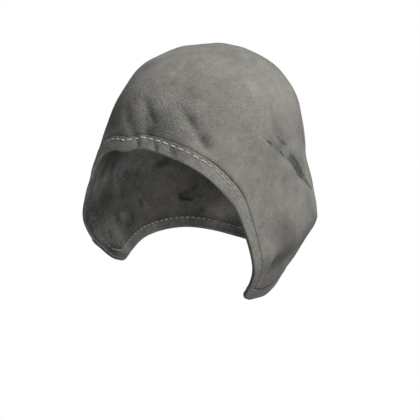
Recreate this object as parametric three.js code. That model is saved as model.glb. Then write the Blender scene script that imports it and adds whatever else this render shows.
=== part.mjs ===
// A loose linen hood: one shaped cloth shell over the crown, ears and nape, open at the face and at
// the neck, with a pointed cheek flap on each side. A hem strip is sewn round the face opening and
// another round the neck.
//
// Millimetres, +Z up, and the face opening looks along -Y. The origin is the inside of the crown,
// where the hood sits on the head. Places on the cloth are given as seen from the middle of the
// head: turn is in degrees round the head, from 0 at the forehead to 90 at the wearer's left ear,
// and height is in degrees above the level through that middle.

import * as THREE from "three";

const CLOTH = 1.6; // thickness of the hood's linen
const HEM_CLOTH = 1.0; // thickness of a hem strip
const HEM_WIDTH = 12.3; // width of the hems on the outside
const GAP = 0.3; // air between a hem and what it covers
const HEM_ROUNDING = 0.7; // chamfer along the outer edge of a hem
const CROWN = 102; // from the middle of the head to the outside of the crown
const ROUNDNESS = 2.2; // exponent of the level sections, where 2 is an ellipse
const CAP_START = 60; // height above which the sections close into one smooth cap
const GATHER = 60; // height, at the back of the head, of the point that the rows of facets run from
const BODY_ROWS = 17; // rows of facets from the gather point to a hem's inner line
const LINEN = { color: 0x8b8982, roughness: 0.95, metalness: 0 };
const HEM_LINEN = { color: 0x96948c, roughness: 0.95, metalness: 0 };

// Distance from the middle of the head to the outside of the cloth, ahead, to each side and behind.
const FORM = [
  { height: -75, front: 102.5, side: 143, back: 109.5 },
  { height: -50, front: 117, side: 118, back: 116 },
  { height: -25, front: 133, side: 106, back: 110 },
  { height: 0, front: 123.5, side: 83.5, back: 100.5 },
  { height: 25, front: 110.5, side: 86, back: 99 },
  { height: 50, front: 102, side: 100, back: 101 },
  { height: 75, front: 100.5, side: 100.5, back: 105.5 },
  { height: 100, front: CROWN, side: CROWN, back: CROWN },
];

// The edge of the hood from the brow round each flap to the nape, as turn and height on the wearer's
// left and on the right. facets is the number of facets from this row to the next.
const EDGE = [
  { place: "brow", left: [0.5, 28], right: [0.5, 28], facets: 6 },
  { place: "brow side", left: [22.2, 23], right: [22.2, 22.6], facets: 5 },
  { place: "temple", left: [36.2, 10.8], right: [36.4, 10.6], facets: 5 },
  { place: "temple", left: [43.7, -4.1], right: [44.8, -4.3], facets: 5 },
  { place: "cheek", left: [48.5, -21.4], right: [49.6, -21.7], facets: 4 },
  { place: "cheek", left: [48.9, -36.5], right: [51, -36.5], facets: 3 },
  { place: "flap front", left: [51.7, -46.5], right: [51.6, -46.7], facets: 3 },
  { place: "flap tip", left: [57.8, -52.3], right: [57.8, -52.2], facets: 3 },
  { place: "flap back", left: [65, -55.2], right: [64.9, -54.8], facets: 3 },
  { place: "below the ear", left: [81, -56.8], right: [81, -55.6], facets: 4 },
  { place: "neck side", left: [104.5, -55.7], right: [104.5, -55], facets: 5 },
  { place: "neck back", left: [136.5, -55.5], right: [136.5, -55.8], facets: 6 },
  { place: "nape", left: [180, -60.3], right: [180, -60.3] },
];
const TIP_ROW = 7.3; // place of the flap's corner, counted in rows of EDGE, where the two hems meet

// Folds and dents of the worn cloth: each runs from one place to another, rises (or sinks, below 0)
// by rise, and fades out over width on both sides. paired folds are on both flaps.
const FOLDS = [
  { name: "left brow fold", turn: [-20, -9], height: [47, 41], rise: -1.4, width: 5 },
  { name: "left brow fold, end", turn: [-12, -6.5], height: [41, 32.5], rise: -1.6, width: 4 },
  { name: "left brow ridge", turn: [-14, 2], height: [51, 38], rise: 0.6, width: 6 },
  { name: "outer brow fold", turn: [-30, -13], height: [40, 32], rise: -1.2, width: 4 },
  { name: "right brow fold", turn: [8, 24], height: [49, 34], rise: -2.3, width: 5 },
  { name: "right brow ridge", turn: [0, 15], height: [47, 34], rise: 1.1, width: 6 },
  { name: "upper ear crease", turn: [62, 70], height: [38, 30], rise: -1.4, width: 4 },
  { name: "rear ear crease", turn: [73, 85], height: [36, 25], rise: -1.4, width: 4 },
  { name: "ear fold", turn: [76, 102], height: [27, 1], rise: -2.8, width: 5 },
  { name: "ear fold's lip", turn: [88, 110], height: [25, 4], rise: 1.2, width: 6 },
  { name: "flap ridge, front", turn: [53.5, 57.5], height: [-36, -22], rise: 1.5, width: 5, paired: true },
  { name: "flap crease", turn: [57.5, 62.5], height: [-37, -25], rise: -1.6, width: 3.5, paired: true },
  { name: "flap ridge, back", turn: [59, 106], height: [-19.5, -20.5], rise: 1.9, width: 6, paired: true },
  { name: "curled flap", turn: [62, 102], height: [-31, -34], rise: -3.6, width: 11, paired: true },
  { name: "crown corner", turn: [-86, -78], height: [54, 52], rise: 1.8, width: 14 },
  { name: "crown flat", turn: [-150, -118], height: [75, 71], rise: -1.8, width: 20 },
  { name: "crown peak", turn: [190, 165], height: [68, 70], rise: 1.4, width: 12 },
  { name: "crown side dent", turn: [128, 122], height: [46, 26], rise: -1.6, width: 14 },
  { name: "crown dent", turn: [-147, -141], height: [66, 64], rise: -1.5, width: 12 },
  { name: "crown shoulder", turn: [-121, -118], height: [60, 58], rise: 0.6, width: 12 },
  { name: "crown corner dent", turn: [-72, -66], height: [48, 44], rise: -1.7, width: 16 },
  { name: "crown back dent", turn: [152, 140], height: [65, 48], rise: -1, width: 16 },
  { name: "back dent", turn: [131, 125], height: [22, 8], rise: -1.2, width: 14 },
  { name: "nape dent", turn: [128, 124], height: [-4, -14], rise: -2.1, width: 15 },
  { name: "neck ridge", turn: [108, 100], height: [-24, -27], rise: 1.2, width: 12 },
  { name: "neck dent", turn: [97, 91], height: [-31, -34], rise: -1.3, width: 13 },
  { name: "neck edge belly", turn: [80, 91], height: [-57, -56], rise: 1.6, width: 8 },
  { name: "right temple ridge", turn: [-44, -42.5], height: [-6, 4], rise: 1.5, width: 11 },
];

// Where the cloth's edge dips below its smooth line, by drop degrees over spread degrees of turn.
const EDGE_DIPS = [
  { turn: -14.5, drop: 1.3, spread: 5 },
  { turn: -6, drop: -0.4, spread: 4 },
];

// A smooth value between b and c, with a before them and d after them, as t goes from 0 to 1.
function smooth(a, b, c, d, t) {
  const cubic = 3 * b - a - 3 * c + d;
  const square = 2 * a - 5 * b + 4 * c - d;
  return 0.5 * (2 * b + (c - a) * t + square * t ** 2 + cubic * t ** 3);
}

function direction(turn, height) {
  const a = THREE.MathUtils.degToRad(turn);
  const h = THREE.MathUtils.degToRad(height);
  return new THREE.Vector3(Math.cos(h) * Math.sin(a), -Math.cos(h) * Math.cos(a), Math.sin(h));
}

// One column of FORM at any height.
function formColumn(column, height) {
  const step = FORM[1].height - FORM[0].height;
  const place = (height - FORM[0].height) / step;
  const row = Math.floor(place);
  const value = (i) => FORM[THREE.MathUtils.clamp(i, 0, FORM.length - 1)][column];
  return smooth(value(row - 1), value(row), value(row + 1), value(row + 2), place - row);
}

// Each fold as the line between its two ends, on a ball of the crown's size.
const foldLines = FOLDS.flatMap((fold) => {
  const sides = fold.paired ? [1, -1] : [1];
  return sides.map((side) => {
    const [start, end] = [0, 1].map((i) =>
      direction(side * fold.turn[i], fold.height[i]).multiplyScalar(CROWN),
    );
    return { ...fold, line: new THREE.Line3(start, end) };
  });
});

function foldRise(toward) {
  const place = toward.clone().multiplyScalar(CROWN);
  const nearest = new THREE.Vector3();
  return foldLines.reduce((sum, { line, rise, width }) => {
    line.closestPointToPoint(place, true, nearest);
    return sum + rise * Math.exp(-((place.distanceTo(nearest) / width) ** 2));
  }, 0);
}

// The outside of the cloth in a direction from the middle of the head.
function outside(toward) {
  const height = THREE.MathUtils.radToDeg(Math.asin(THREE.MathUtils.clamp(toward.z, -1, 1)));
  const turn = Math.atan2(toward.x, -toward.y);
  const ahead = formColumn(toward.y < 0 ? "front" : "back", height);
  const aside = formColumn("side", height);
  const section =
    (Math.abs(Math.cos(turn)) / ahead) ** ROUNDNESS + (Math.abs(Math.sin(turn)) / aside) ** ROUNDNESS;
  const cap = THREE.MathUtils.smoothstep(height, CAP_START, 90);
  const distance = THREE.MathUtils.lerp(section ** (-1 / ROUNDNESS), CROWN, cap);
  return toward.clone().multiplyScalar(distance + foldRise(toward));
}

// The point of the cloth in a direction, and the way its outside faces there.
function clothAt(toward) {
  const NUDGE = 0.002;
  const sideways = new THREE.Vector3(0, 1, 0).cross(toward).normalize();
  const upwards = toward.clone().cross(sideways);
  const [east, west, north, south] = [
    [sideways, NUDGE],
    [sideways, -NUDGE],
    [upwards, NUDGE],
    [upwards, -NUDGE],
  ].map(([way, step]) => outside(toward.clone().addScaledVector(way, step).normalize()));
  const normal = east.sub(west).cross(north.sub(south)).normalize();
  return { point: outside(toward), normal };
}

// The rows of EDGE all the way round: down the left, then up the right.
const loop = [
  ...EDGE.map(({ left }) => left),
  ...EDGE.slice(1, -1)
    .reverse()
    .map(({ right: [turn, height] }) => [360 - turn, height]),
];
const facetsFrom = (i) => (i < EDGE.length - 1 ? EDGE[i] : EDGE[loop.length - 1 - i]).facets;

// The direction of the edge at any place round it, counted in rows.
function edgeToward(place) {
  const row = Math.floor(place);
  const t = place - row;
  const rowAt = (i) => {
    const round = Math.floor(i / loop.length);
    const [turn, height] = loop[i - round * loop.length];
    return [turn + 360 * round, height];
  };
  const around = [-1, 0, 1, 2].map((i) => rowAt(row + i));
  const turn = smooth(...around.map((edge) => edge[0]), t);
  const height = smooth(...around.map((edge) => edge[1]), t);
  const dip = EDGE_DIPS.reduce((sum, d) => {
    const away = THREE.MathUtils.euclideanModulo(turn - d.turn + 180, 360) - 180;
    return sum + d.drop * Math.exp(-((away / d.spread) ** 2));
  }, 0);
  return direction(turn, height - dip);
}

const FINE_STEPS = 12; // points of the fine edge line to each row
const edgeLine = Array.from({ length: loop.length * FINE_STEPS }, (_, i) =>
  outside(edgeToward(i / FINE_STEPS)),
);

function distanceToEdge(point) {
  const nearest = new THREE.Vector3();
  return edgeLine.reduce((least, start, i) => {
    const line = new THREE.Line3(start, edgeLine[(i + 1) % edgeLine.length]);
    return Math.min(least, point.distanceTo(line.closestPointToPoint(point, true, nearest)));
  }, Infinity);
}

// A station is one line over the cloth from the gather point to the edge. Its along(t) is the
// direction at t, from 0 at the gather point to 1 at the edge, and its inset(d) is the t that lies
// d from the nearest edge.
const gatherToward = direction(180, GATHER);
function stationAt(place) {
  const end = edgeToward(place);
  const angle = gatherToward.angleTo(end);
  const along = (t) =>
    gatherToward
      .clone()
      .multiplyScalar(Math.sin((1 - t) * angle))
      .addScaledVector(end, Math.sin(t * angle))
      .normalize();
  const inset = (distance) => {
    if (distance === 0) return 1;
    let [near, far] = [0.5, 1];
    for (let i = 0; i < 16; i += 1) {
      const middle = (near + far) / 2;
      if (distanceToEdge(outside(along(middle))) > distance) near = middle;
      else far = middle;
    }
    return (near + far) / 2;
  };
  return { place, along, inset };
}

const stations = loop.flatMap((_, i) =>
  Array.from({ length: facetsFrom(i) }, (_, k) => stationAt(i + k / facetsFrom(i))),
);

function solid(vertices, faces, name, look) {
  const geometry = new THREE.BufferGeometry();
  geometry.setAttribute(
    "position",
    new THREE.Float32BufferAttribute(vertices.flatMap((v) => v.toArray()), 3),
  );
  geometry.setIndex(faces.flat());
  geometry.computeVertexNormals();
  const mesh = new THREE.Mesh(geometry, new THREE.MeshStandardMaterial(look));
  mesh.name = name;
  return mesh;
}

// The cloth shell: rows of points over the outside from the gather point to the cut edge, and back
// over the inside. The cut edge stays clear of the hems' turned-in lips.
function hoodBody() {
  const cut = HEM_CLOTH + GAP;
  const lines = stations.map((station) => {
    const hemLine = station.inset(HEM_WIDTH);
    const rows = Array.from({ length: BODY_ROWS }, (_, k) => (hemLine * (k + 1)) / BODY_ROWS);
    return [...rows, station.inset(HEM_WIDTH / 2), station.inset(cut)].map((t) =>
      clothAt(station.along(t)),
    );
  });
  const inner = ({ point, normal }) => point.clone().addScaledVector(normal, -CLOTH);
  const top = clothAt(gatherToward);
  const depth = lines[0].length;
  const outerRings = Array.from({ length: depth }, (_, k) => lines.map((line) => line[k].point));
  const innerRings = Array.from({ length: depth }, (_, k) => lines.map((line) => inner(line[k])));
  const rings = [...outerRings, ...innerRings.reverse()];
  const vertices = [top.point, ...rings.flat(), inner(top)];
  const around = stations.length;
  const last = vertices.length - 1;
  const faces = [];
  for (let i = 0; i < around; i += 1) {
    const next = (i + 1) % around;
    faces.push([0, 1 + i, 1 + next]);
    faces.push([last, last - around + next, last - around + i]);
    for (let k = 0; k < rings.length - 1; k += 1) {
      const row = 1 + k * around;
      faces.push([row + i, row + around + i, row + next]);
      faces.push([row + around + i, row + around + next, row + next]);
    }
  }
  return solid(vertices, faces, "hood_body", LINEN);
}

// A hem's section: how far in from the edge, and how high above the cloth. A flange lies on the
// outside and a lip turns in over the cut edge of the cloth.
const HEM_TOP = GAP + HEM_CLOTH;
const HEM_SECTION = [
  { inset: 0, rise: -CLOTH },
  { inset: HEM_CLOTH, rise: -CLOTH },
  { inset: HEM_CLOTH, rise: GAP },
  { inset: HEM_WIDTH / 2, rise: GAP },
  { inset: HEM_WIDTH, rise: GAP },
  { inset: HEM_WIDTH, rise: HEM_TOP },
  { inset: HEM_WIDTH / 2, rise: HEM_TOP },
  { inset: HEM_ROUNDING, rise: HEM_TOP },
  { inset: 0, rise: HEM_TOP - HEM_ROUNDING },
];

// A hem strip that follows the edge from one place to another.
function hem(from, to, name) {
  const middle = stations
    .flatMap((station) => [station, stationAt(station.place - loop.length)])
    .filter(({ place }) => place > from && place < to)
    .sort((a, b) => a.place - b.place);
  const insets = [...new Set(HEM_SECTION.map((p) => p.inset))];
  const sections = [stationAt(from), ...middle, stationAt(to)].map(({ along, inset }) => {
    const cloth = new Map(insets.map((d) => [d, clothAt(along(inset(d)))]));
    return HEM_SECTION.map((p) => {
      const { point, normal } = cloth.get(p.inset);
      return point.clone().addScaledVector(normal, p.rise);
    });
  });
  const count = HEM_SECTION.length;
  const faces = [];
  for (let s = 0; s < sections.length - 1; s += 1) {
    for (let k = 0; k < count; k += 1) {
      const [a, b] = [s * count + k, s * count + ((k + 1) % count)];
      faces.push([a, b, b + count], [a, b + count, a + count]);
    }
  }
  const outline = HEM_SECTION.map((p) => new THREE.Vector2(p.inset, p.rise));
  const endStart = (sections.length - 1) * count;
  for (const [a, b, c] of THREE.ShapeUtils.triangulateShape(outline, [])) {
    faces.push([a, c, b], [endStart + a, endStart + b, endStart + c]);
  }
  return solid(sections.flat(), faces, name, HEM_LINEN);
}

// Half of the gap between the two hems at the flap's corner, counted in rows.
const rowLength = outside(edgeToward(TIP_ROW)).distanceTo(outside(edgeToward(TIP_ROW + 0.1))) / 0.1;
const tipGap = GAP / rowLength;

const hood = new THREE.Group();
hood.position.z = CLOTH - CROWN;
hood.add(
  hoodBody(),
  hem(tipGap - TIP_ROW, TIP_ROW - tipGap, "face_hem"),
  hem(TIP_ROW + tipGap, loop.length - TIP_ROW - tipGap, "neck_hem"),
);

export default hood;
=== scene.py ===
"""A loose linen hood as it sits on a head, with its sewn hems, folds and stitches, in plain studio light."""

import math

import bmesh
import bpy
import numpy as np
from mathutils import Matrix, Vector, noise


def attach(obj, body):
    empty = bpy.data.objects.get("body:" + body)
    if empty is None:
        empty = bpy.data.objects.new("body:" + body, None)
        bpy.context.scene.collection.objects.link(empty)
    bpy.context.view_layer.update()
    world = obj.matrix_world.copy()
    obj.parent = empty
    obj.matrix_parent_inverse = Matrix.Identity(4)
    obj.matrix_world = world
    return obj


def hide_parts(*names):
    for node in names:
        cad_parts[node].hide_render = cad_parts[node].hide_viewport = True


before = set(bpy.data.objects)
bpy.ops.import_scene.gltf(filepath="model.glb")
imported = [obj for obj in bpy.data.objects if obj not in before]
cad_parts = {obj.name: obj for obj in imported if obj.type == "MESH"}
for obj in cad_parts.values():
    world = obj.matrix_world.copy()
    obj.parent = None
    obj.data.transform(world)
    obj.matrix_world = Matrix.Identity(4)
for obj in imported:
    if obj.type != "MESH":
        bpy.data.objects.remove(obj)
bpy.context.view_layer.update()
scene = bpy.context.scene
MM = 0.001

# The camera looks down on the hood from its left front, with a slight tilt, through a long lens.
CROWN = 102 * MM  # from the middle of the head to the outside of the crown
WALL = 1.6 * MM
HEAD = np.array([0, 0, WALL - CROWN])  # the middle of the head
TURNED, RAISED, TILTED = (math.radians(a) for a in (26.4, 28.6, -2.1))
DISTANCE = 1.0  # metres from the lens to the level of the head
AIM_ACROSS, AIM_UP = 2.881 * MM, -40.276 * MM  # from the middle of the head to the picture's middle
FOCAL = 1150 / 420  # focal length in widths of the picture
away = Vector((math.sin(TURNED) * math.cos(RAISED), -math.cos(TURNED) * math.cos(RAISED), math.sin(RAISED)))
level = Vector((math.cos(TURNED), math.sin(TURNED), 0))
rising = away.cross(level)
across = level * math.cos(TILTED) - rising * math.sin(TILTED)
upward = level * math.sin(TILTED) + rising * math.cos(TILTED)
stand = Vector(HEAD) + away * DISTANCE + across * AIM_ACROSS + upward * AIM_UP
lens = bpy.data.cameras.new("studio_camera")
lens.lens = FOCAL * lens.sensor_width
lens.clip_end = 100
camera = bpy.data.objects.new("studio_camera", lens)
camera.matrix_world = Matrix.Translation(stand) @ Matrix((across, upward, away)).transposed().to_4x4()
scene.collection.objects.link(camera)
scene.camera = camera

# The hood's cloth: one layer of heavy brushed linen, cut and sewn to the form of a head, slack over the brow,
# and drawn in below the ears so that the flaps turn under. It ends inside the folded hems.
ROUNDNESS = 2.2  # exponent of the level sections, where 2 is an ellipse
CAP_START = 60  # height in degrees above which the sections close into one smooth cap
FORM = np.array([
    # height in degrees, then the distance in mm from the middle of the head ahead, aside and behind
    (-75, 102.5, 143, 109.5),
    (-50, 117, 118, 116),
    (-25, 133, 106, 110),
    (0, 123.5, 83.5, 100.5),
    (25, 110.5, 86, 99),
    (50, 102, 100, 101),
    (75, 100.5, 100.5, 105.5),
    (100, 102, 102, 102),
])
EDGE = np.array([
    # turn round the head from the brow and height, in degrees, on the wearer's left and then on the right
    (0.5, 28, 0.5, 28),
    (22.2, 23, 22.2, 22.6),
    (36.2, 10.8, 36.4, 10.6),
    (43.7, -4.1, 44.8, -4.3),
    (48.5, -21.4, 49.6, -21.7),
    (48.9, -36.5, 51, -36.5),
    (51.7, -46.5, 51.6, -46.7),
    (57.8, -52.3, 57.8, -52.2),
    (65, -55.2, 64.9, -54.8),
    (81, -56.8, 81, -55.6),
    (104.5, -55.7, 104.5, -55),
    (136.5, -55.5, 136.5, -55.8),
    (180, -60.3, 180, -60.3),
])
EDGE_DIPS = [
    # turn, drop and spread in degrees
    (-14.5, 1.3, 5),
    (-6, -0.4, 4),
]
FOLDS = [
    # turn from and to and height from and to, in degrees, then rise and width in mm
    (-21, -6, 48, 40.5, -1.5, 3.6),
    (-15, -5, 43.5, 33.5, -1.3, 3.6),
    (-14, 2, 51, 38, 0.6, 6),
    (-30, -13, 40, 32, -1.2, 4),
    (8, 26, 49, 32.5, -2, 4.4),
    (0, 15, 47, 34, 1.1, 6),
    (62, 70, 38, 30, -1.4, 4),
    (73, 85, 36, 25, -1.4, 4),
    (76, 102, 27, 1, -2.8, 5),
    (88, 110, 25, 4, 1.2, 6),
    (53.5, 57.5, -36, -22, 1.5, 5),
    (57.5, 62.5, -37, -25, -1.6, 3.5),
    (59, 106, -19.5, -20.5, 1.9, 6),
    (62, 102, -31, -34, -3.6, 11),
    (-53.5, -57.5, -36, -22, 1.5, 5),
    (-57.5, -62.5, -37, -25, -1.6, 3.5),
    (-59, -106, -19.5, -20.5, 1.9, 6),
    (-62, -102, -31, -34, -3.6, 11),
    (-86, -78, 54, 52, 1.8, 14),
    (-150, -118, 75, 71, -1.8, 20),
    (190, 165, 68, 70, 1.4, 12),
    (128, 122, 46, 26, -1.6, 14),
    (-147, -141, 66, 64, -1.5, 12),
    (-121, -118, 60, 58, 0.6, 12),
    (-72, -66, 48, 44, -1.7, 16),
    (152, 140, 65, 48, -1, 16),
    (131, 125, 22, 8, -1.2, 14),
    (128, 124, -4, -14, -2.1, 15),
    (108, 100, -24, -27, 1.2, 12),
    (97, 91, -31, -34, -1.3, 13),
    (80, 91, -57, -56, 1.6, 8),
    (-44, -42.5, -6, 4, 1.5, 11),
    # small creases across the hem at the brow
    (-11, -8, 31.5, 28.5, -0.8, 2),
    (-0.5, 2, 31.5, 28.5, -0.8, 2),
    (7.5, 11, 31.5, 28, -0.7, 2.4),
]
HEM_WIDTH = 12.3 * MM
TIP = 7.3  # place of the flap's corner on the edge, counted in rows, where the two hems meet
# Places on the edge, and the width of a hem at them in mm: the face hem narrows towards the flaps, and the
# neck hem widens there and runs over its end.
FACE_WIDTHS = [(0, 2.7, 3.5, 4.4, 5.2, TIP), (12.3, 12.3, 10.4, 8.8, 6, 5)]
NECK_START = 4.85  # place where the neck hem starts on the face edge
NECK_WIDTHS = [(4.75, 4.9, 5.2, 6.15, 7.3, 8.5, 9.6), (0.8, 2.2, 6, 13.4, 16.8, 13.8, 12.3)]
PAST_END = 0.01  # how many places past its end a hem keeps its width


def toward(turn, height):
    """The ways from the middle of the head to places on the cloth."""
    a, h = np.radians(turn), np.radians(height)
    return np.stack([np.cos(h) * np.sin(a), -np.cos(h) * np.cos(a), np.sin(h)], axis=-1)


def two_ways(turn, turn_to, height, height_to):
    """The ways from the middle of the head to the two ends of a line on the cloth."""
    return toward(np.array([turn, turn_to]), np.array([height, height_to]))


def unit(v):
    """The same directions with a length of 1."""
    return v / np.linalg.norm(v, axis=-1, keepdims=True)


def lengths(points):
    """The length along a line of points up to each of them."""
    return np.r_[0, np.cumsum(np.linalg.norm(np.diff(points, axis=0), axis=1))]


def between(table, place):
    """The row at any place between a table's rows, on a smooth line through them."""
    row = np.floor(place).astype(int)
    t = (place - row)[..., None]
    a, b, c, d = (table[np.clip(row + i, 0, len(table) - 1)] for i in (-1, 0, 1, 2))
    return b + 0.5 * t * (c - a + t * (2 * a - 5 * b + 4 * c - d + t * (3 * b - a - 3 * c + d)))


def line_gap(points, start, end):
    """How far points are from a straight line."""
    run = end - start
    t = np.clip((points - start) @ run / (run @ run), 0, 1)
    return np.linalg.norm(points - start - t[..., None] * run, axis=-1)


def fold_rise(ways):
    """How far the folds lift the cloth, or lower it."""
    rise = np.zeros(ways.shape[:-1])
    for *ends, fold, width in FOLDS:
        gap = line_gap(ways, *two_ways(*ends)) * CROWN
        rise += fold * MM * np.exp(-((gap / (width * MM)) ** 2))
    return rise


def outside(ways):
    """The outside of the cloth, from the middle of the head, before its fine slackness."""
    height = np.degrees(np.arcsin(np.clip(ways[..., 2], -1, 1)))
    turn = np.arctan2(ways[..., 0], -ways[..., 1])
    row = between(FORM[:, 1:], (height - FORM[0, 0]) / (FORM[1, 0] - FORM[0, 0])) * MM
    ahead = np.where(ways[..., 1] < 0, row[..., 0], row[..., 2])
    section = (np.abs(np.cos(turn)) / ahead) ** ROUNDNESS + (np.abs(np.sin(turn)) / row[..., 1]) ** ROUNDNESS
    cap = np.clip((height - CAP_START) / (90 - CAP_START), 0, 1)
    cap = cap * cap * (3 - 2 * cap)
    distance = section ** (-1 / ROUNDNESS) * (1 - cap) + CROWN * cap
    return ways * (distance + fold_rise(ways))[..., None]


def slackness(points):
    """The soft unevenness of worn cloth, at two sizes."""
    flat = points.reshape(-1, 3)
    broad = np.array([noise.noise(Vector(p) * 22) for p in flat])
    small = np.array([noise.noise(Vector(p) * 55 + Vector((7, 3, 5))) for p in flat])
    return (0.55 * broad + 0.28 * small).reshape(points.shape[:-1]) * MM


def cloth(ways):
    """Points of the cloth's outside in the row frame, and the way that it faces at each."""
    side = unit(np.cross([0, 1, 0], ways))
    over = np.cross(ways, side)
    step = 0.002  # aside, on a ball of radius 1, to the places that give the slope
    east, west, north, south = (outside(unit(ways + way * step)) for way in (side, -side, over, -over))
    normal = unit(np.cross(east - west, north - south))
    point = outside(ways)
    return point + HEAD + normal * slackness(point)[..., None], normal


edge_loop = np.vstack([EDGE[:, :2], EDGE[-2:0:-1, 2:] * [-1, 1] + [360, 0]])
ROUND = len(edge_loop)


def edge_toward(place):
    """The way to the hood's edge at a place round it, counted in rows from the brow."""
    wrapped = np.vstack([edge_loop - [360, 0], edge_loop, edge_loop + [360, 0]])
    turn, height = np.moveaxis(between(wrapped, place + ROUND), -1, 0)
    for dip_turn, drop, spread in EDGE_DIPS:
        off = (turn - dip_turn + 180) % 360 - 180
        height = height - drop * np.exp(-((off / spread) ** 2))
    return toward(turn, height)


whole_edge = outside(edge_toward(np.linspace(0, ROUND, 289)))
neck_edge = outside(edge_toward(np.linspace(TIP, ROUND - TIP, 121)))


def edge_gap(points, line=whole_edge):
    """How far points, from the middle of the head, are from the hood's edge."""
    least = np.full(points.shape[:-1], np.inf)
    for start, end in zip(line[:-1], line[1:]):
        least = np.minimum(least, line_gap(points, start, end))
    return least


GATHER = toward(180, 60)  # the point at the back of the crown that the rows of the mesh run from


def along(place, t):
    """The way at t on the line over the cloth from the gather point, at 0, to a place on the edge, at 1."""
    end = edge_toward(place)
    angle = np.arccos(np.clip(end @ GATHER, -1, 1))
    return unit(np.sin((1 - t) * angle)[..., None] * GATHER + np.sin(t * angle)[..., None] * end)


HALVINGS = 14  # that find a line's place to about 0.01 mm


def inset(place, distance):
    """The t of the lines to some places on the edge, where they pass a distance from it."""
    near, far = np.full(place.shape, 0.4), np.full(place.shape, 1.0)
    for _ in range(HALVINGS):
        middle = (near + far) / 2
        outer = edge_gap(outside(along(place, middle))) > distance
        near, far = np.where(outer, middle, near), np.where(outer, far, middle)
    return (near + far) / 2


def off_brow(place):
    """How many places off the middle of the brow a place on the edge is, either way round."""
    return np.minimum(place % ROUND, -place % ROUND)


def face_reach(place, share=1.0):
    """The t at some share of the face hem's width, from the edge to its inner line."""
    width = np.interp(off_brow(place), *FACE_WIDTHS) * MM
    return np.where(off_brow(place) < TIP + PAST_END, inset(place, width * share), 1)


def neck_reach(place, share=1.0):
    """The same for the neck hem, which runs on over the flap's corner to the face edge."""
    width = np.interp(off_brow(place), *NECK_WIDTHS) * MM
    return np.where(off_brow(place) > NECK_START - PAST_END, inset(place, width * share), 1)


def even_places(start, end, count):
    """Places round the edge, a like distance apart."""
    places = np.linspace(start, end, 2000)
    run = lengths(outside(edge_toward(places)))
    return np.interp(np.linspace(0, run[-1], count), run, places)


# Marks of dirt, wear and paleness, and of painted light and shade: painted shade beside the folds, in the
# creases, over the brow's left side away from the light and under the flaps' curl, and painted shade deep
# inside with painted light near the openings. Soft ones are kept in the mesh, and crisp ones are drawn by the
# finish.
SOFT = 0.8  # softness from which a mark is kept in the mesh
MARK_REACH = 30 * MM  # how far past its ends a mark can be, so that it stays on one side of the hood
# Painted shade beside the brow's folds and in its creases, with dirt, and over its left side, away from the
# light.
BROW_MARKS = [
    # turn from and to and height from and to, in degrees, darkness, less than 0 where it is paler, width at
    # the start and the end in mm, softness, lean: how many times narrower it is on the right of its run
    (-21.7, -13.2, 48.3, 44.7, 0.24, 2.4, 3.4, 0.9, 2),
    (-14, -4.7, 45, 39.8, 0.4, 3.4, 5.6, 0.9, 3.5),
    (-16, -10.9, 43.5, 39.1, 0.26, 3, 6, 0.9, 4),
    (-10.9, -4.6, 39.1, 32.8, 0.42, 7, 11, 0.9, 6),
    (-3.3, 5.5, 39.8, 34.2, 0.22, 5, 8, 0.95, 1),
    (-29.2, -17.7, 39, 34.2, 0.3, 2.6, 3.6, 0.9, 2),
    (-17.7, -13, 34.2, 32.4, 0.28, 3, 3, 0.9, 2),
    (11.6, 21.2, 48.4, 39, 0.36, 4, 7.5, 0.9, 5),
    (20.2, 28.2, 39.6, 31.6, 0.36, 7, 7, 0.9, 4),
    (-66, -20, 38, 36, 0.3, 20, 15, 1, 1),
    (-62, -6, 33.5, 33, 0.3, 10, 9, 0.9, 1),
    (-48, -16, 47, 46, 0.17, 15, 15, 1, 1),
    (-74, -46, 50, 60, 0.4, 13, 15, 1, 1),
    (-30, 24, 36.5, 34, 0.36, 15, 14, 1, 1),
    (-56, -10, 26, 30, 0.4, 7, 7, 1, 1),
    (5, 22, 29.5, 26, 0.22, 6, 6, 0.9, 1),
    (-9.5, -6.3, 31.2, 28.2, 0.38, 2.8, 2.6, 0.8, 2),
    (0.6, 3.6, 31.4, 28.4, 0.36, 2.8, 2.8, 0.8, 2),
    (8.4, 12.7, 31.6, 28.3, 0.34, 3.6, 3.2, 0.8, 2),
]
# Painted shade in the folds by the ear and under the flap's curl, and small stains.
SIDE_MARKS = [
    (61.6, 64.6, 37.2, 34.2, 0.3, 0.6, 1, 0.4, 1),
    (64.2, 69.2, 34.5, 31.3, 0.62, 1.3, 1.2, 0.35, 1),
    (69.2, 80, 31.3, 24.2, 0.2, 0.9, 0.8, 0.7, 1),
    (74.5, 78, 34.6, 32.4, 0.4, 0.9, 1.1, 0.5, 1),
    (78, 84.5, 32.4, 27, 0.42, 1.1, 1.1, 0.5, 1),
    (78.2, 81, 26.2, 21.7, 0.55, 1.1, 1.5, 0.4, 1),
    (84, 97.8, 20.3, 6.5, 0.3, 1, 1.5, 0.4, 1),
    (86.1, 98.9, 22.9, 10.3, 0.28, 1, 1.7, 0.5, 1),
    (86, 98.3, 20.5, 8.5, 0.48, 2.3, 3.3, 0.3, 1),
    (96.5, 106, 10.5, -2, 0.6, 3.1, 3, 0.3, 1),
    (105.5, 111.5, -2, -11, 0.6, 2.5, 0.5, 0.3, 1),
    (113.5, 110.5, 26, 17, 0.55, 2, 1.8, 0.6, 1),
    (54, 55.2, 16.3, 15.2, 0.3, 1, 1, 0.7, 1),
    (60.6, 62, 8.6, 7.4, 0.3, 1, 1, 0.7, 1),
    (60.5, 54.8, -22.5, -34, 0.34, 5, 3.4, 0.9, 4),
    (112, 80, -23, -23, 0.4, 26, 26, 0.8, 4),
    (84, 59, -22, -23, 0.4, 22, 20, 0.8, 5),
    (112, 92, -14, -18, 0.2, 14, 12, 1, 1),
    (86, 58, -10, -22, 0.5, 17, 17, 1, 1),
    (70, 66, 33, 22, 0.08, 16, 16, 1, 1),
    (56, 53, -12, -22, -0.14, 9, 8, 1, 1),
]
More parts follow.
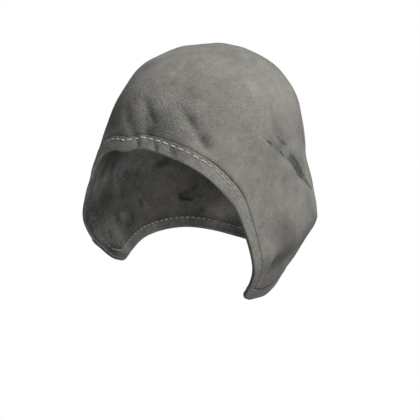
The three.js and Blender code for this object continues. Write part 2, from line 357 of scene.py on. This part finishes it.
# Painted shade deep inside the hood and painted light low down near the neck opening, with stains and pale
# streaks.
INSIDE_MARKS = [
    (-146, -134.5, -43.9, -43, 0.66, 1.8, 3.6, 0.6, 4),
    (-144.5, -135, -39.4, -41.4, 0.42, 2, 3, 0.7, 1),
    (-150, -143, -35.6, -39.6, 0.4, 1.6, 2.2, 0.7, 1),
    (-121, -134, -25.7, -23.5, 0.55, 3, 4.4, 0.7, 1),
    (-46, -104, 9, -16, 0.5, 15, 12, 1, 1),
    (-134, -150, -23.5, -29, 0.26, 5, 6, 1, 1),
    (-146, -160, -26, -34, 0.2, 6, 8, 1, 1),
    (-150, -182, -40, -53, -0.8, 14, 13, 1, 1),
    (-83, -69, -22, -33, 0.4, 7, 8, 0.9, 1),
    (-84, -91, -39.5, -43.5, -0.7, 3, 3.8, 0.7, 1),
    (-97, -95.5, -42.3, -46.2, 0.35, 1.8, 1.8, 0.7, 1),
    (-95, -84, -46.5, -47, 0.3, 1.8, 1.6, 0.7, 1),
    (-104.8, -113, -30, -43.5, -0.45, 0.9, 1.4, 0.6, 1),
    (-108, -107.5, -37.5, -43, 0.42, 2.4, 2.2, 0.7, 1),
    (-53, -69, 3, -19, -0.5, 1, 1.4, 0.6, 1),
    (-75, -80, -3, -22, -0.45, 1, 1.8, 0.6, 1),
    (-91.5, -91, -12, -33, -0.4, 1.2, 3, 0.7, 1),
    (-66, -74, 0, -16, 0.36, 2, 2.6, 0.7, 1),
    (-84, -86, -8, -24, 0.36, 2, 2.6, 0.7, 1),
    (-69, -65, -39, -44.5, 0.42, 2.6, 2.4, 0.7, 1),
    (-71, -79, -43, -50, -0.35, 4, 6, 0.9, 1),
    (-58, -86, -45, -54, -1, 16, 13, 1, 1),
    (-158, -190, -44, -56, -1, 20, 20, 1, 1),
    (-66, -58, -32, -46, -0.6, 12, 14, 1, 1),
    (-52, -108, 14, -8, 0.6, 18, 17, 1, 1),
]


def fade(value, start, end):
    """A smooth way from 0 to 1 between two values."""
    t = np.clip((value - start) / (end - start), 0, 1)
    return t * t * (3 - 2 * t)


def dirt_and_painted_shade(points, marks):
    """The share of its paleness that the cloth loses at points to soft marks, less than 0 where it gains."""
    kept = np.ones(points.shape[:-1])
    for *ends, darkness, width, width_to, softness, lean in marks:
        if softness < SOFT:
            continue
        start, end = outside(two_ways(*ends))
        half = np.linalg.norm(end - start) / 2
        offset = points - HEAD - (start + end) / 2
        lengthwise = offset @ unit(end - start) / half
        side = offset @ unit(np.cross(start, end))
        off = np.maximum(side, -lean * side) / (np.interp(lengthwise, (-1, 1), (width, width_to)) * MM)
        mask = (1 - fade(off, 1 - softness, 1 + softness)) * (1 - fade(abs(lengthwise), 1 - softness, 1.15))
        kept *= 1 - darkness * mask * (np.linalg.norm(offset, axis=-1) < half + MARK_REACH)
    return 1 - kept


def placed(name, mesh, smooth=True):
    """An object in the scene, made of the mesh under edit."""
    data = bpy.data.meshes.new(name)
    mesh.to_mesh(data)
    mesh.free()
    if smooth:
        data.shade_smooth()
    made = bpy.data.objects.new(name, data)
    scene.collection.objects.link(made)
    return made


def cloth_grid(name, points, inside_from, notes, capped=False):
    """A mesh of quads through rows of points, with its second finish from one row on.

    The notes are numbers for each point that the finish reads.
    """
    rows, columns = points.shape[:2]
    mesh = bmesh.new()
    layers = {label: mesh.verts.layers.float.new(label) for label in notes}
    bmesh.ops.create_grid(mesh, x_segments=columns - 1, y_segments=rows - 1, size=0.5)
    place = np.array([v.co[:2] for v in mesh.verts]) + 0.5
    row = np.rint(place[:, 1] * (rows - 1)).astype(int)
    column = np.rint(place[:, 0] * (columns - 1)).astype(int)
    for face in mesh.faces:
        face.material_index = int(min(row[v.index] for v in face.verts) >= inside_from)
    for vertex, co in zip(mesh.verts, points[row, column]):
        vertex.co = co
    for label, values in notes.items():
        for vertex, value in zip(mesh.verts, values[row, column]):
            vertex[layers[label]] = value
    bmesh.ops.remove_doubles(mesh, verts=mesh.verts, dist=2e-6)
    if capped:
        bmesh.ops.holes_fill(mesh, edges=[e for e in mesh.edges if e.is_boundary], sides=0)
    bmesh.ops.recalc_face_normals(mesh, faces=mesh.faces)
    return placed(name, mesh)


# Steps of the mesh: round the hood, over it from the gather point, closer beside the hems, and on under them.
AROUND, OVER, BESIDE, UNDER = 420, 75, 8, 6
CUT = 1.3 * MM  # from the hood's edge to where the cloth is cut, inside the hem
NEAR_HEM, NEAR_SHARE = HEM_WIDTH + 6 * MM, 0.45  # the closer steps take this share of that distance
places = even_places(0, ROUND, AROUND + 1)
hem_line = np.minimum(face_reach(places), neck_reach(places))
cut_line = inset(places, CUT)
start = hem_line - (1 - inset(places, NEAR_HEM)) * NEAR_SHARE
reach = np.vstack([
    np.linspace(0, 1, OVER + 1)[:, None] * start,
    start + np.linspace(0, 1, BESIDE + 1)[1:, None] * (hem_line - start),
    hem_line + np.linspace(0, 1, UNDER + 1)[1:, None] * (cut_line - hem_line),
])
ways = along(np.broadcast_to(places, reach.shape), reach)
points, normals = cloth(ways)
# The cloth puffs up a little beside a hem and is pulled down at its line, on the outside alone. Painted
# shade, standing for the shadow of the hem's step, darkens that line, more broadly on the wearer's left.
off_hem = (hem_line - reach) * np.linalg.norm(points[-1] - points[OVER], axis=-1) / (cut_line - start)
puffed = 0.25 * MM * np.exp(-(((off_hem - 4.5 * MM) / (3 * MM)) ** 2))
pulled = 0.3 * MM * np.exp(-((off_hem / (1.2 * MM)) ** 2))
outer = points + normals * ((puffed - pulled) * (off_hem > -1 * MM))[..., None]
inner = points - normals * WALL
near = fade(places, 0.8, 1.8) * (1 - fade(places, 5, 5.8))
line_shade = np.exp(-(((off_hem - (0.2 + 0.7 * near) * MM) / ((0.9 + 0.3 * near) * MM)) ** 2))
# Inside, the band along the neck is painted paler: painted light, where light comes in at the neck opening.
NECK_BAND_LIGHT = 0.9
neck_band_light = NECK_BAND_LIGHT / (1 + np.exp((edge_gap(outside(ways), neck_edge) - 9 * MM) / (0.5 * MM)))
shades = np.vstack([line_shade, -neck_band_light[::-1]])
# The marks put dirt and painted shade on the outside, and painted shade and painted light inside.
dirt_and_painted_shades = np.vstack([dirt_and_painted_shade(outer, BROW_MARKS + SIDE_MARKS), dirt_and_painted_shade(inner[::-1], INSIDE_MARKS)])
hood_cloth = cloth_grid(
    "hood_cloth", np.vstack([outer, inner[::-1]]), len(reach), {"hem_shadow": shades, "dirt_and_painted_shade": dirt_and_painted_shades}
)


def group(name, inputs, outputs):
    """A new node group with named inputs and outputs, and its two end nodes."""
    made = bpy.data.node_groups.new(name, "ShaderNodeTree")
    for label, kind, value in inputs:
        socket = made.interface.new_socket(label, in_out="INPUT", socket_type=kind)
        if value is not None:
            socket.default_value = value
    for label, kind in outputs:
        made.interface.new_socket(label, in_out="OUTPUT", socket_type=kind)
    return made, made.nodes.new("NodeGroupInput"), made.nodes.new("NodeGroupOutput")


def add(tree, kind, inputs=None, **settings):
    """A node with its settings, and its inputs set or joined."""
    node = tree.nodes.new(kind)
    for label, value in settings.items():
        setattr(node, label, value)
    for label, value in (inputs or {}).items():
        if isinstance(value, bpy.types.NodeSocket):
            tree.links.new(value, node.inputs[label])
        else:
            node.inputs[label].default_value = value
    return node


def sums(tree, operation, a, b=0.0, c=0.0):
    """A sum of numbers."""
    return add(tree, "ShaderNodeMath", {0: a, 1: b, 2: c}, operation=operation).outputs[0]


def arrows(tree, operation, a, b=(0, 0, 0), output="Value"):
    """A sum of vectors."""
    return add(tree, "ShaderNodeVectorMath", {0: a, 1: b}, operation=operation).outputs[output]


def spread(tree, value, low, high, out_low, out_high, kind="LINEAR"):
    """A value taken from one range to another."""
    ends = {"Value": value, "From Min": low, "From Max": high, "To Min": out_low, "To Max": out_high}
    return add(tree, "ShaderNodeMapRange", ends, interpolation_type=kind).outputs["Result"]


def mixed(tree, share, a, b, blend="MIX"):
    """A mix of two colours."""
    return add(tree, "ShaderNodeMix", {0: share, 6: a, 7: b}, data_type="RGBA", blend_type=blend).outputs[2]


# Brushed linen: cloudy wear over a hand's breadth, smaller patches, pale wisps and a fine nap of fibres.
NUMBER, VECTOR = "NodeSocketFloat", "NodeSocketVector"
brushed, given, result = group(
    "brushed_linen",
    [("Vector", VECTOR, None), ("Cloud", NUMBER, 0.1), ("Nap", NUMBER, 0.1), ("Grime", NUMBER, 0.0)],
    [("Shade", NUMBER), ("Nap", NUMBER), ("Clouds", NUMBER)],
)
NOISES = {
    # scale, detail, roughness, distortion
    "clouds": (26, 4, 0.6, 0.4),
    "patches": (90, 5, 0.65, 0),
    "wisps": (48, 6, 0.7, 2.2),
    "nap": (980, 3, 0.8, 0),
}
layer = {}
for label, (scale, detail, rough, twist) in NOISES.items():
    form = {"Scale": scale, "Detail": detail, "Roughness": rough, "Distortion": twist}
    texture = add(brushed, "ShaderNodeTexNoise", {"Vector": given.outputs["Vector"], **form})
    layer[label] = texture.outputs["Fac"]
cloudy, patchy, hairy = (sums(brushed, "SUBTRACT", layer[kind], 0.5) for kind in ("clouds", "patches", "nap"))
wispy = spread(brushed, layer["wisps"], 0.56, 0.72, 0, 0.22, "SMOOTHSTEP")
uneven = sums(brushed, "ADD", sums(brushed, "ADD", cloudy, patchy), wispy)
softly = sums(brushed, "MULTIPLY_ADD", uneven, given.outputs["Cloud"], 1.0)
coarse = sums(brushed, "MULTIPLY_ADD", given.outputs["Grime"], 2.0, given.outputs["Nap"])
brushed.links.new(sums(brushed, "MULTIPLY_ADD", hairy, coarse, softly), result.inputs["Shade"])
brushed.links.new(layer["nap"], result.inputs["Nap"])
brushed.links.new(layer["clouds"], result.inputs["Clouds"])

# A mark on the cloth: a stripe from one place to another, with a fibrous edge from crisp to soft. The lean
# makes it narrower on one side.
mark, given, result = group(
    "cloth_mark",
    [("Vector", VECTOR, None), ("Middle", VECTOR, None), ("Run", VECTOR, None), ("Across", VECTOR, None),
     ("Half", NUMBER, 0.01), ("Start", NUMBER, 0.001), ("End", NUMBER, 0.001), ("Softness", NUMBER, 0.5),
     ("Lean", NUMBER, 1.0)],
    [("Mask", NUMBER)],
)
FIBRES_ALONG, FIBRES_ACROSS = 170, 800  # how fine the fibrous edge is each way, for each metre
offset = arrows(mark, "SUBTRACT", given.outputs["Vector"], given.outputs["Middle"], "Vector")
run = arrows(mark, "DOT_PRODUCT", offset, given.outputs["Run"])
side = arrows(mark, "DOT_PRODUCT", offset, given.outputs["Across"])
lengthwise, sideways = sums(mark, "MULTIPLY", run, FIBRES_ALONG), sums(mark, "MULTIPLY", side, FIBRES_ACROSS)
stretched = add(mark, "ShaderNodeCombineXYZ", {"X": lengthwise, "Y": sideways}).outputs[0]
fibre = add(mark, "ShaderNodeTexNoise", {"Vector": stretched, "Scale": 1, "Detail": 3}).outputs["Fac"]
ragged = sums(mark, "MULTIPLY", sums(mark, "SUBTRACT", fibre, 0.5), 1.7)
place_along = sums(mark, "DIVIDE", run, given.outputs["Half"])
width_here = spread(mark, place_along, -1, 1, given.outputs["Start"], given.outputs["End"])
other_side = sums(mark, "MULTIPLY", sums(mark, "MULTIPLY", side, given.outputs["Lean"]), -1)
leaning = sums(mark, "MAXIMUM", side, other_side)
off_line = sums(mark, "ADD", sums(mark, "DIVIDE", leaning, width_here), ragged)
off_end = sums(mark, "MULTIPLY_ADD", ragged, 0.3, sums(mark, "ABSOLUTE", place_along))
crisp = sums(mark, "SUBTRACT", 1.0, given.outputs["Softness"])
blurred = sums(mark, "ADD", 1.0, given.outputs["Softness"])
beside = spread(mark, off_line, crisp, blurred, 1, 0, "SMOOTHSTEP")
ending = spread(mark, off_end, crisp, 1.15, 1, 0, "SMOOTHSTEP")
within = sums(mark, "ADD", given.outputs["Half"], MARK_REACH)
on_this_side = sums(mark, "LESS_THAN", arrows(mark, "LENGTH", offset), within)
whole = sums(mark, "MULTIPLY", sums(mark, "MULTIPLY", beside, ending), on_this_side)
mark.links.new(whole, result.inputs["Mask"])


def striped(tree, where, ends, width, width_to, softness, lean):
    """The mask of one mark between two places."""
    start, end = outside(two_ways(*ends))
    stripe = add(tree, "ShaderNodeGroup", node_tree=mark)
    tree.links.new(where, stripe.inputs["Vector"])
    values = {
        "Middle": (start + end) / 2 + HEAD, "Run": unit(end - start), "Across": unit(np.cross(start, end)),
        "Half": np.linalg.norm(end - start) / 2, "Start": width * MM, "End": width_to * MM,
        "Softness": softness, "Lean": lean,
    }
    for label, value in values.items():
        stripe.inputs[label].default_value = value
    return stripe.outputs["Mask"]


def linen(name, colour, cloud, nap, shadow, marks, grimy=()):
    """A finish of the hood's linen, with its marks, a coarse grimy place, and darker lines along the hems."""
    made = bpy.data.materials.new(name)
    made.use_nodes = True
    tree = made.node_tree
    shader = tree.nodes["Principled BSDF"]
    where = add(tree, "ShaderNodeTexCoord").outputs["Object"]
    wear = add(tree, "ShaderNodeGroup", node_tree=brushed)
    tree.links.new(where, wear.inputs["Vector"])
    wear.inputs["Cloud"].default_value = cloud
    wear.inputs["Nap"].default_value = nap
    if grimy:
        tree.links.new(striped(tree, where, grimy[:4], *grimy[4:]), wear.inputs["Grime"])
    shade = wear.outputs["Shade"]
    grainy = spread(tree, wear.outputs["Nap"], 0.35, 0.65, 1.25, 0.75)
    # Soft marks, from the mesh: dirt, and painted light and shade.
    dirt_and_painted_shade_here = add(tree, "ShaderNodeAttribute", attribute_name="dirt_and_painted_shade").outputs["Fac"]
    shade = sums(tree, "MULTIPLY", shade, sums(tree, "SUBTRACT", 1.0, sums(tree, "MULTIPLY", dirt_and_painted_shade_here, grainy)))
    # Crisp marks, drawn here: dirt, and painted shade in the folds.
    for *ends, darkness, width, width_to, softness, lean in marks:
        if softness >= SOFT:
            continue
        mask = striped(tree, where, ends, width, width_to, softness, lean)
        dark = sums(tree, "MULTIPLY", sums(tree, "MULTIPLY", mask, darkness), grainy)
        shade = sums(tree, "MULTIPLY", shade, sums(tree, "SUBTRACT", 1.0, dark))
    line = add(tree, "ShaderNodeAttribute", attribute_name="hem_shadow").outputs["Fac"]
    shade = sums(tree, "MULTIPLY", shade, sums(tree, "MULTIPLY_ADD", line, -shadow, 1.0))
    warm, cool = ((*(np.array(colour) * tint), 1) for tint in ((1.03, 1, 0.955), (0.98, 1, 1.03)))
    hue = mixed(tree, wear.outputs["Clouds"], cool, warm)
    tree.links.new(mixed(tree, 1.0, hue, shade, "MULTIPLY"), shader.inputs["Base Color"])
    bump = add(tree, "ShaderNodeBump", {"Strength": 0.4, "Distance": 0.0006, "Height": wear.outputs["Nap"]})
    tree.links.new(bump.outputs["Normal"], shader.inputs["Normal"])
    shader.inputs["Roughness"].default_value = 0.95
    shader.inputs["Sheen Weight"].default_value = 0.12
    shader.inputs["Sheen Roughness"].default_value = 0.5
    shader.inputs["Specular IOR Level"].default_value = 0.2
    return made


BROW_GRIME = (-60, 32, 38, 37, 22, 18, 0.7, 1)  # the place and form of a mark, without a darkness of its own
outer_linen = linen(
    "outer_linen", (0.242, 0.236, 0.213), cloud=0.8, nap=1.7, shadow=0.72, marks=SIDE_MARKS, grimy=BROW_GRIME
)
inner_linen = linen(
    "inner_linen", (0.25, 0.243, 0.232), cloud=1.3, nap=3.2, shadow=0.6, marks=INSIDE_MARKS
)
hood_cloth.data.materials.append(outer_linen)
hood_cloth.data.materials.append(inner_linen)
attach(hood_cloth, "root")
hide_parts("hood_body")

# The hems: the cloth's edge is folded outwards and pressed flat, one strip round the face opening and one
# round the neck. The neck hem is sewn last, so its ends lie over the face hem at the flaps' corners.
STITCH_LINE = 0.77  # place of the stitches in a hem's width, from the edge
FACE_PITCH, NECK_PITCH = 6.8 * MM, 5.3 * MM
FACE_STITCH, NECK_STITCH = 5.1 * MM, 3.4 * MM
HEM_SECTION = np.array([
    # distance from the edge in a hem of full width, and rise above the cloth, in mm
    (12.3, 0.1), (12.4, 0.4), (12.3, 0.75), (12.0, 0.98), (11.5, 1.05), (10.9, 1.02),
    (10.3, 0.98), (9.9, 0.96), (9.5, 0.95), (9.1, 0.98), (8.7, 1.04), (8.0, 1.12),
    (6.5, 1.22), (4.0, 1.28), (2.0, 1.28), (1.0, 1.27), (0.45, 1.2), (0.15, 1.0),
    (0.03, 0.65), (0, 0.1), (0, -0.7), (0.05, -1.25), (0.25, -1.55), (0.7, -1.66),
    (1.6, -1.68), (2.8, -1.66), (3.6, -1.61), (4.2, -1.5), (4.2, -1.2), (2.0, -1.2),
    (1.0, -1.1), (1.0, 0.02), (1.3, 0.1), (5.0, 0.1), (11.0, 0.1),
]) * MM
RIM = 17  # row of the section where the inside's finish starts
EDGE_STEP = 0.02  # in t, to a place beside the edge, which gives the length of a step


def hem_strip(name, places, reach, rises, inner_rises, beyond, pitch, stitch, wear, rim_shade, inside_light):
    """A hem along the edge, dented at its stitches where they aren't worn.

    It takes its shares of the section's rises above the cloth and inside it, how far its rim stands out
    beyond the edge, how much painted shade darkens the rim, and how much painted light makes the inside
    paler.
    """
    inner_line, stitch_line = reach(places), reach(places, STITCH_LINE)
    share, rise = HEM_SECTION[:, :1] / HEM_WIDTH, HEM_SECTION[:, 1:]
    top = rise > 0.5 * MM
    edge, short_of_it = cloth(along(places, np.array([[1.0], [1 - EDGE_STEP]])))[0]
    t = 1 - (1 - inner_line) * share
    t = np.where(share > 0.5, t, t + EDGE_STEP * beyond / np.linalg.norm(edge - short_of_it, axis=-1))
    rise = np.where(rise > 0, rise * rises, rise * inner_rises)
    run = lengths(cloth(along(places, stitch_line))[0])
    off_stitches = (t - stitch_line) / (1 - inner_line) * HEM_WIDTH
    off_middle = (run / pitch + 0.5) % 1 - 0.5
    at_end = np.exp(-(((np.abs(off_middle) * pitch - stitch * 0.54) / (0.6 * MM)) ** 2)) * (1 - wear)
    # Painted shade at the holes where the thread goes through the cloth.
    hole_shade = top * at_end * np.exp(-((off_stitches / (0.7 * MM)) ** 2))
    drawn = top * (0.3 * (1 - wear) + 0.7 * at_end) * np.exp(-((off_stitches / (1.5 * MM)) ** 2))
    points, normals = cloth(along(np.broadcast_to(places, t.shape), t))
    grid = points + normals * (rise - 0.25 * MM * drawn)[..., None]
    row = np.arange(len(share))[:, None]
    # The rim is painted darker as painted shade; the inside of the neck hem is painted paler as painted
    # light.
    rim = (row >= RIM - 2) & (row < RIM + 4)
    notes = 0.7 * hole_shade + 0.85 * rim_shade * rim - NECK_BAND_LIGHT * inside_light * (row >= RIM + 5)
    dirt_and_painted_shades = np.where(row < RIM, dirt_and_painted_shade(grid, BROW_MARKS), dirt_and_painted_shade(grid, INSIDE_MARKS))
    grid, notes, dirt_and_painted_shades = (np.vstack([values, values[:1]]) for values in (grid, notes, dirt_and_painted_shades))
    return cloth_grid(name, grid, RIM, {"hem_shadow": notes, "dirt_and_painted_shade": dirt_and_painted_shades}, capped=True)


# Places on the edge, and how far the stitches there are worn into the cloth.
FACE_WEAR = [
    (-5, -2.6, -1.5, -0.8, 0, 0.6, 1.3, 2, 2.6, 3.2, 3.7, 5),
    (0.9, 0.75, 0.5, 0.1, 0.1, 0.25, 0.34, 0.46, 0.6, 0.85, 1, 1),
]
NECK_WEAR = [(4, 9.3, 10.3, 12, 14, 17, 20), (1, 1, 0.35, 0.25, 0.3, 0.3, 0.6)]
face_places = even_places(-TIP, TIP, 1000)
covered = fade(off_brow(face_places), NECK_START, NECK_START + 0.5)
face_hem = hem_strip(
    "face_hem_fold", face_places, face_reach, rises=0.82 - 0.4 * covered, inner_rises=1,
    beyond=-0.45 * MM, pitch=FACE_PITCH, stitch=FACE_STITCH, wear=np.interp(face_places, *FACE_WEAR),
    rim_shade=fade(face_places, 1.2, 3), inside_light=0,
)
neck_places = even_places(NECK_START, ROUND - NECK_START, 900)
over = 1 - fade(off_brow(neck_places), TIP, TIP + 0.6)
neck_hem = hem_strip(
    "neck_hem_fold", neck_places, neck_reach, rises=0.82 + 0.25 * over, inner_rises=1 + 0.12 * over,
    beyond=-0.2 * MM, pitch=NECK_PITCH, stitch=NECK_STITCH, wear=np.interp(neck_places, *NECK_WEAR),
    rim_shade=1, inside_light=1,
)
hem_linen = linen(
    "hem_linen", (0.246, 0.241, 0.218), cloud=0.7, nap=2.8, shadow=0.6, marks=(), grimy=BROW_GRIME
)
for hem, node in ((face_hem, "face_hem"), (neck_hem, "neck_hem")):
    hem.data.materials.append(hem_linen)
    hem.data.materials.append(inner_linen)
    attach(hem, "root")
    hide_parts(node)

# The stitches: a running stitch of off-white two-ply linen thread along each hem, longer on the outside of
# the face hem and closer along the neck. Rubbing has worn and greyed those on the cheeks and flaps.
TWIST = 1.1 * MM  # length of one turn of the thread's two plies
THREAD = 1.35 * MM  # breadth of a stitch, with the plies spread by the pull
SUNK = 1.3 * MM  # how deep a stitch lies that is worn away
chance = np.random.default_rng(4)


def at(run, rows, length):
    """The row of a table of vectors at a length along its line."""
    return np.array([np.interp(length, run, column) for column in rows.T])


def stitch_row(name, places, line, pitch, length, width, side, lift, wear):
    """A row of stitches on one side of the cloth, whose ends sink into it, and deeper where they are worn."""
    points, normals = cloth(along(places, line))
    points = points + side * normals * np.broadcast_to(lift - SUNK * wear ** 2, len(places))[:, None]
    run = lengths(points)
    mesh = bmesh.new()
    layers = [mesh.verts.layers.float.new(label) for label in ("run", "round", "tone")]
    for middle in np.arange(pitch / 2, run[-1] - length / 2, pitch):
        half = length / 2 * chance.uniform(0.9, 1.1)
        thick = width / 2 * chance.uniform(0.85, 1.1)
        skew = chance.uniform(-0.08, 0.08)
        here, ahead = (at(run, points, middle + further) for further in (0, 0.3 * MM))
        facing = side * unit(at(run, normals, middle))
        forward = unit(ahead - here)
        sideways = unit(np.cross(facing, forward))
        forward, sideways = forward + sideways * skew, sideways - forward * skew
        facing = np.cross(forward, sideways)
        tone = chance.uniform(0, 0.2) + np.interp(middle, run, np.broadcast_to(wear, len(places)))
        made = bmesh.ops.create_uvsphere(mesh, u_segments=10, v_segments=9, radius=1)["verts"]
        for vertex in made:
            x, y, z = vertex.co.z, vertex.co.x, vertex.co.y
            vertex[layers[0]] = x * half
            vertex[layers[1]] = math.atan2(y, z)
            vertex[layers[2]] = tone
            plump = thick * math.sqrt(1 + x * x)
            sunk = z * 0.75 * plump - 0.4 * width * x ** 6
            vertex.co = Vector(here + forward * x * half + sideways * y * plump + facing * sunk)
    bmesh.ops.recalc_face_normals(mesh, faces=mesh.faces)
    row = placed(name, mesh)
    row.data.materials.append(thread)
    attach(row, "root")


thread = bpy.data.materials.new("linen_thread")
thread.use_nodes = True
tree = thread.node_tree
shader = tree.nodes["Principled BSDF"]
run, angle, tone = (
    add(tree, "ShaderNodeAttribute", attribute_name=kept).outputs["Fac"] for kept in ("run", "round", "tone")
)
# The thread is painted darker in the grooves between its plies, as painted shade, beside the bump of the
# twist.
ply = sums(tree, "SINE", sums(tree, "MULTIPLY_ADD", run, math.tau / TWIST, angle))
ply_groove_shade = spread(tree, ply, -1, 1, 0.86, 1.04)
greyed = mixed(tree, tone, (0.86, 0.84, 0.77, 1), (0.235, 0.23, 0.21, 1))
tree.links.new(mixed(tree, 1.0, greyed, ply_groove_shade, "MULTIPLY"), shader.inputs["Base Color"])
bump = add(tree, "ShaderNodeBump", {"Strength": 0.6, "Distance": 0.0003, "Height": ply})
tree.links.new(bump.outputs["Normal"], shader.inputs["Normal"])
shader.inputs["Roughness"].default_value = 0.8

uncovered = even_places(-NECK_START, NECK_START, 900)
sewn = neck_places[(neck_places > NECK_START + 0.6) & (neck_places < ROUND - NECK_START - 0.6)]
inside_row = even_places(6, ROUND - 4, 900)
INSIDE_WEAR = [(5, 7, 8, 17.3, 17.8, 18.6, 20), (1, 0.5, 0, 0, 0.4, 0.7, 0.95)]
stitch_row(
    "face_hem_stitches", uncovered, face_reach(uncovered, STITCH_LINE), FACE_PITCH, FACE_STITCH,
    width=THREAD, side=1, lift=0.98 * MM, wear=np.interp(uncovered, *FACE_WEAR),
)
stitch_row(
    "neck_hem_stitches", sewn, neck_reach(sewn, STITCH_LINE), NECK_PITCH, NECK_STITCH,
    width=THREAD, side=1, lift=0.95 * MM, wear=np.interp(sewn, *NECK_WEAR),
)
stitch_row(
    "neck_hem_stitches_inside", inside_row, inset(inside_row, 9.6 * MM), NECK_PITCH, length=3.5 * MM,
    width=1.8 * MM, side=-1, lift=WALL + 0.55 * MM, wear=np.interp(inside_row, *INSIDE_WEAR),
)

# The studio: a wide pale floor well below the hood, white surroundings, and soft lights. The floor and the
# surroundings are white to the camera, and light the hood less than that.
FLOOR_DROP, FLOOR_RADIUS = 0.9, 9  # metres


def seen_white(tree, kind, lighting, out):
    """Joins a shader up so that the camera sees plain white in its place."""
    white = add(tree, kind, {"Color": (1, 1, 1, 1), "Strength": 1.0})
    seen = add(tree, "ShaderNodeLightPath").outputs["Is Camera Ray"]
    either = add(tree, "ShaderNodeMixShader", {"Fac": seen, 1: lighting.outputs[0], 2: white.outputs[0]})
    tree.links.new(either.outputs[0], tree.nodes[out].inputs["Surface"])


floor_mesh = bmesh.new()
below = Matrix.Translation((0, 0, -FLOOR_DROP))
bmesh.ops.create_circle(floor_mesh, cap_ends=True, segments=96, radius=FLOOR_RADIUS, matrix=below)
floor = placed("studio_floor", floor_mesh, smooth=False)
pale = bpy.data.materials.new("pale_floor")
pale.use_nodes = True
paint = pale.node_tree.nodes["Principled BSDF"]
paint.inputs["Base Color"].default_value = (0.3, 0.3, 0.3, 1)
seen_white(pale.node_tree, "ShaderNodeEmission", paint, "Material Output")
floor.data.materials.append(pale)

scene.view_settings.view_transform = "Standard"
world = bpy.data.worlds.new("studio")
scene.world = world
world.use_nodes = True
surroundings = world.node_tree.nodes["Background"]
surroundings.inputs["Color"].default_value = (1, 1, 1, 1)
surroundings.inputs["Strength"].default_value = 0.27
seen_white(world.node_tree, "ShaderNodeBackground", surroundings, "World Output")

LIGHTS = [
    # name, turn and height in degrees, distance and size in metres, power
    ("key", 108, 61, 1.6, 0.9, 22.8),
    ("front_fill", 50, -8, 1.8, 1.2, 6.8),
]
for name, turn, height, distance, size, power in LIGHTS:
    lamp = bpy.data.lights.new(name, "AREA")
    lamp.shape = "DISK"
    lamp.size = size
    lamp.energy = power
    light = bpy.data.objects.new(name, lamp)
    way = Vector(toward(turn, height))
    light.location = Vector(HEAD) + way * distance
    light.rotation_mode = "QUATERNION"
    light.rotation_quaternion = way.to_track_quat("Z", "Y")
    scene.collection.objects.link(light)
